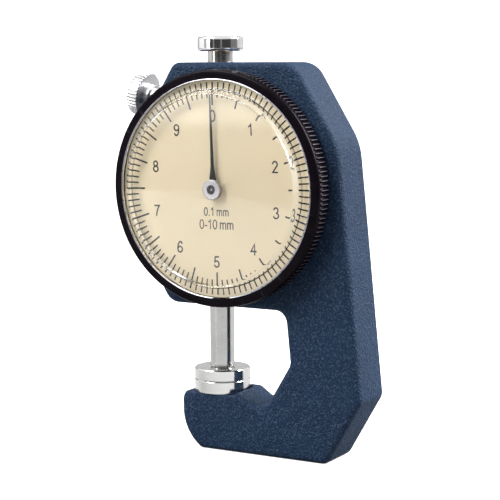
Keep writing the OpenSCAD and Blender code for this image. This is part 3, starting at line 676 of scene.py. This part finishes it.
# Plain upright figures as pen strokes in a cell one unit high
def oval(cx, cz, rx, rz, a0=90, a1=450, steps=20):
    return [(cx + rx * x, cz + rz * z) for x, z in arc(0, 0, 1, a0, a1, steps)]


SIX = [oval(0.28, 0.29, 0.22, 0.24),
       [(0.06, 0.32)] + oval(0.3, 0.42, 0.235, 0.52, 175, 90, 8) + [(0.4, 0.92), (0.48, 0.79)]]
GLYPHS = {
    "0": [oval(0.28, 0.5, 0.22, 0.45)],
    "1": [[(0.12, 0.74), (0.25, 0.82), (0.34, 0.95), (0.34, 0.05)]],
    "2": [oval(0.28, 0.72, 0.22, 0.23, 170, -35, 12) + [(0.06, 0.06), (0.52, 0.06)]],
    "3": [oval(0.27, 0.72, 0.19, 0.22, 165, -90, 12) + oval(0.27, 0.28, 0.23, 0.22, 90, -165, 12)],
    "4": [[(0.39, 0.05), (0.39, 0.94), (0.04, 0.33), (0.54, 0.33)]],
    "5": [[(0.48, 0.93), (0.15, 0.93), (0.1, 0.5)] + oval(0.28, 0.32, 0.23, 0.26, 130, -160, 12)],
    "6": SIX,
    "7": [[(0.05, 0.93), (0.51, 0.93), (0.36, 0.66), (0.26, 0.36), (0.21, 0.05)]],
    "8": [oval(0.28, 0.73, 0.18, 0.21), oval(0.28, 0.28, 0.22, 0.23)],
    "9": [[(0.56 - x, 1 - z) for x, z in stroke] for stroke in SIX],
    ".": [[(0.13, 0.04), (0.13, 0.1)]],
    "-": [[(0.06, 0.36), (0.3, 0.36)]],
    "m": [[(0.08, 0.05), (0.08, 0.68)], oval(0.24, 0.5, 0.16, 0.18, 180, 0, 8) + [(0.4, 0.05)],
          oval(0.56, 0.5, 0.16, 0.18, 180, 0, 8) + [(0.72, 0.05)]],
    " ": []}
ADVANCE = {".": 0.3, "-": 0.38, "m": 0.86, " ": 0.24}
FIGURE_ADVANCE = 0.6
PEN_END = 0.6


def ribbon(verts, faces, points, half, place):
    """One pen stroke as a thin raised ribbon; place maps the flat point to the dial's face."""
    pts = [Vector(p) for p in points]
    n = len(pts)
    looped = (pts[0] - pts[-1]).length < 1e-6
    base = len(verts)
    for i, p in enumerate(pts):
        before = pts[i - 1] if i else (pts[-2] if looped else p)
        after = pts[i + 1] if i < n - 1 else (pts[1] if looped else p)
        one = (p - before).normalized() if (p - before).length > 0 else (after - p).normalized()
        two = (after - p).normalized() if (after - p).length > 0 else one
        mean = (one + two).normalized()
        across = Vector((-mean.y, mean.x)) * half / max(0.5, mean.dot(one))
        end = mean * half * (0 if looped else {0: -PEN_END, n - 1: PEN_END}.get(i, 0))
        for q in (p + end - across, p + end + across):
            verts += [place(q, 0), place(q, PRINT_T)]
    for i in range(n - 1):
        a, b = base + 4 * i, base + 4 * i + 4
        faces += [(a, a + 2, b + 2, b), (a + 1, b + 1, b + 3, a + 3),
                  (a, b, b + 1, a + 1), (a + 2, a + 3, b + 3, b + 2)]
    last = base + 4 * (n - 1)
    faces += [(base, base + 1, base + 3, base + 2), (last, last + 2, last + 3, last + 1)]


def make_words(name, items):
    """Plain figures on the dial, each (text, x, z, height, pen), as thin raised print."""
    verts, faces = [], []
    for text, x, z, height, pen in items:
        width = sum(ADVANCE.get(c, FIGURE_ADVANCE) for c in text) * height
        cursor = x - width / 2
        for c in text:
            for stroke in GLYPHS[c]:
                def place(q, lift, left=cursor):
                    u, w = left + q.x * height, z + (q.y - 0.5) * height
                    u, w = u * LEAN_COS - w * LEAN_SIN, u * LEAN_SIN + w * LEAN_COS
                    return (DIAL_X + u, -DIAL_FRONT - lift, DIAL_Z + w)
                ribbon(verts, faces, stroke, pen / height, place)
            cursor += ADVANCE.get(c, FIGURE_ADVANCE) * height
    return new_object(name, verts, faces, PRINT_ANGLE)


FIGURE_R, FIGURE_H, FIGURE_PEN, FIGURES = 12.6, 2.05, 0.135, 10
figures = []
for i in range(FIGURES):
    turn = 2 * math.pi * i / FIGURES
    figures.append((str(i), FIGURE_R * math.sin(turn), FIGURE_R * math.cos(turn), FIGURE_H, FIGURE_PEN))
figures += [("0.1 mm", 0.1, -3.95, 1.5, 0.095), ("0-10 mm", 0.1, -6.15, 1.7, 0.1)]
numbers = make_words("dial_figures", figures)
numbers.data.materials.append(INK)
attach(numbers, "dial_unit")


# Camera at the photograph's angle
VIEW_TURN, VIEW_RISE, VIEW_ROLL = math.radians(29.86), math.radians(7.01), math.radians(-0.28)
VIEW_TARGET, VIEW_DISTANCE = (5.7826, 0, 35.5614), 278.195
LENS, SENSOR = 113.83, 36


def make_camera():
    """The photograph's camera, fitted to the outline."""
    az, el, roll = VIEW_TURN, VIEW_RISE, VIEW_ROLL
    target, distance = Vector(VIEW_TARGET) * MM, VIEW_DISTANCE * MM
    out = Vector((math.sin(az) * math.cos(el), -math.cos(az) * math.cos(el), math.sin(el)))
    right = Vector((math.cos(az), math.sin(az), 0))
    up = right.cross(-out)
    r2 = right * math.cos(roll) + up * math.sin(roll)
    u2 = up * math.cos(roll) - right * math.sin(roll)
    data = bpy.data.cameras.new("camera")
    data.lens = LENS
    data.sensor_width = SENSOR
    data.clip_start = 0.01
    cam = bpy.data.objects.new("camera", data)
    m = Matrix((r2, u2, out)).transposed().to_4x4()
    m.translation = target + out * distance
    cam.matrix_world = m
    bpy.context.scene.collection.objects.link(cam)
    bpy.context.scene.camera = cam


make_camera()


# Floor, world and lamps
PAPER_SEEN, PAPER_GLOW, PAPER_REAL = 0.5, 0.62, 0.25


def make_stage():
    """A sheet of paper that rises behind the object."""
    front_edge, back_edge, curve_r, height, left, right = -0.25, 0.3, 0.25, 0.8, -0.5, 0.3
    rows = [(front_edge, 0.0), (back_edge, 0.0)]
    for a in range(10, 100, 10):
        t = math.radians(a)
        rows.append((back_edge + curve_r * math.sin(t), curve_r - curve_r * math.cos(t)))
    rows.append((back_edge + curve_r, height))
    verts, faces = [], []
    for y, z in rows:
        verts += [(left, y, z), (right, y, z)]
    for i in range(len(rows) - 1):
        faces.append((2 * i, 2 * i + 1, 2 * i + 3, 2 * i + 2))
    mesh = bpy.data.meshes.new("floor")
    mesh.from_pydata(verts, [], faces)
    mesh.shade_smooth()
    floor = bpy.data.objects.new("floor", mesh)
    bpy.context.scene.collection.objects.link(floor)
    floor.rotation_euler = (0, 0, VIEW_TURN)
    floor.data.materials.append(make_paper())


def unscattered(nodes, links, path, kind):
    """One on rays of a kind that have met no matt surface on their way."""
    fresh = math_node(nodes, links, "LESS_THAN", path.outputs["Diffuse Depth"], 0.5)
    return math_node(nodes, links, "MULTIPLY", path.outputs[kind], fresh)


def background_share(nodes, links):
    """One where the background is looked at, straight or through the crystal."""
    path = nodes.new("ShaderNodeLightPath")
    through = unscattered(nodes, links, path, "Is Transmission Ray")
    return math_node(nodes, links, "MAXIMUM", path.outputs["Is Camera Ray"], through)


def make_paper():
    """Plain paper that reads white to the camera and keeps the shadow."""
    mat = bpy.data.materials.new("floor_paper")
    mat.use_nodes = True
    nodes, links = mat.node_tree.nodes, mat.node_tree.links
    nodes.remove(nodes["Principled BSDF"])
    seen = nodes.new("ShaderNodeBsdfDiffuse")
    seen.inputs["Color"].default_value = (*grey(PAPER_SEEN), 1)
    glow = nodes.new("ShaderNodeEmission")
    glow.inputs["Strength"].default_value = PAPER_GLOW
    both = nodes.new("ShaderNodeAddShader")
    links.new(seen.outputs[0], both.inputs[0])
    links.new(glow.outputs[0], both.inputs[1])
    real = nodes.new("ShaderNodeBsdfDiffuse")
    real.inputs["Color"].default_value = (*grey(PAPER_REAL), 1)
    pick = nodes.new("ShaderNodeMixShader")
    links.new(background_share(nodes, links), pick.inputs["Fac"])
    links.new(real.outputs[0], pick.inputs[1])
    links.new(both.outputs[0], pick.inputs[2])
    links.new(pick.outputs[0], nodes["Material Output"].inputs["Surface"])
    return mat


def make_light(name, turn, rise, distance, size, power):
    """A soft box, by its bearing from the front (-Y, positive towards +X), its rise and its distance."""
    data = bpy.data.lights.new(name, "AREA")
    data.shape = "RECTANGLE"
    data.size, data.size_y = size
    data.energy = power
    lamp = bpy.data.objects.new(name, data)
    aim = Vector((5, 0, 40)) * MM
    t, e = math.radians(turn), math.radians(rise)
    out = Vector((math.sin(t) * math.cos(e), -math.cos(t) * math.cos(e), math.sin(e)))
    lamp.location = aim + out * distance
    lamp.rotation_euler = (-out).to_track_quat("-Z", "Y").to_euler()
    bpy.context.scene.collection.objects.link(lamp)


# Brightness round the horizon, by bearing in degrees from the camera, positive to its right
WALL_STOPS = [(-180, 1.0), (-126, 0.9), (-114, 1.2), (-88, 1.2), (-82, 0.06), (-37, 0.05), (-33, 0.4),
              (-29, 0.05), (1, 0.05), (5, 0.4), (9, 0.05), (50, 0.05), (58, 0.2), (90, 0.22), (100, 0.8),
              (180, 1.0)]
SKIRT_STOPS = [(-180, 0.6), (-120, 0.5), (-84, 0.5), (-72, 0.06), (40, 0.06), (60, 0.2), (120, 0.25),
               (180, 0.6)]
WINDOW_STOPS = [(-82, 0.0), (-78, 0.7), (-69, 0.7), (-67, 5.0), (-56, 5.0), (-54, 0.0)]
# Heights of the skirt's upper edge and the window's, from 0 straight down to 1 straight up
SKIRT_EDGE = [(0.4765, grey(0.0)), (0.4815, grey(1.0))]
WINDOW_EDGES = SKIRT_EDGE + [(0.529, grey(1.0)), (0.535, grey(0.0))]
# Heights where the walls pass into the ceiling and mirrors into white, from 0 level to 1 straight up
CEILING_EDGE = [(0.45, grey(0.0)), (0.75, grey(1.0))]
MIRROR_EDGE = [(0.17, grey(0.0)), (0.3, grey(1.0))]
CEILING, WHITE = 1.25, 1.0


def make_world():
    """White to the camera and to steep mirrors; elsewhere a light tent that is dark around the camera."""
    world = bpy.data.worlds.new("studio")
    world.use_nodes = True
    nodes, links = world.node_tree.nodes, world.node_tree.links
    plain = nodes["Background"]
    plain.inputs["Color"].default_value = (1, 1, 1, 1)
    plain.inputs["Strength"].default_value = WHITE
    coord = nodes.new("ShaderNodeTexCoord")
    turn = nodes.new("ShaderNodeMapping")
    turn.inputs["Rotation"].default_value = (0, 0, -VIEW_TURN)
    split = nodes.new("ShaderNodeSeparateXYZ")
    links.new(coord.outputs["Generated"], turn.inputs["Vector"])
    links.new(turn.outputs["Vector"], split.inputs["Vector"])
    ahead = math_node(nodes, links, "MULTIPLY", split.outputs["Y"], -1.0)
    bearing = math_node(nodes, links, "ARCTAN2", split.outputs["X"], ahead)
    share = nodes.new("ShaderNodeMapRange")
    share.inputs["From Min"].default_value = -math.pi
    share.inputs["From Max"].default_value = math.pi
    links.new(bearing, share.inputs["Value"])
    walls, skirt, window = [
        ramp(nodes, links, share.outputs["Result"], [(a / 360 + 0.5, grey(v)) for a, v in stops])
        for stops in (WALL_STOPS, SKIRT_STOPS, WINDOW_STOPS)]
    rise = nodes.new("ShaderNodeMapRange")
    rise.inputs["From Min"].default_value = -1.0
    links.new(split.outputs["Z"], rise.inputs["Value"])
    low, slit = [ramp(nodes, links, rise.outputs["Result"], stops) for stops in (SKIRT_EDGE, WINDOW_EDGES)]
    height, upper = [ramp(nodes, links, split.outputs["Z"], stops) for stops in (CEILING_EDGE, MIRROR_EDGE)]
    band = mix_color(nodes, links, low.outputs["Color"], skirt.outputs["Color"], walls.outputs["Color"])
    lit = mix_color(nodes, links, slit.outputs["Color"], band, window.outputs["Color"], "ADD")
    sky = mix_color(nodes, links, height.outputs["Color"], lit, grey(CEILING))
    path = nodes.new("ShaderNodeLightPath")
    glossy = unscattered(nodes, links, path, "Is Glossy Ray")
    mirrored = math_node(nodes, links, "MULTIPLY", glossy, upper.outputs["Color"])
    sky = mix_color(nodes, links, mirrored, sky, grey(WHITE))
    studio = nodes.new("ShaderNodeBackground")
    links.new(sky, studio.inputs["Color"])
    pick = nodes.new("ShaderNodeMixShader")
    links.new(background_share(nodes, links), pick.inputs["Fac"])
    links.new(studio.outputs[0], pick.inputs[1])
    links.new(plain.outputs[0], pick.inputs[2])
    links.new(pick.outputs[0], nodes["World Output"].inputs["Surface"])
    bpy.context.scene.world = world


make_stage()
make_light("front_top", turn=-38, rise=45, distance=0.7, size=(0.5, 0.5), power=11.2)
make_light("right", turn=122, rise=36, distance=0.55, size=(0.34, 0.34), power=10.4)
make_world()
bpy.context.scene.view_settings.view_transform = "Standard"
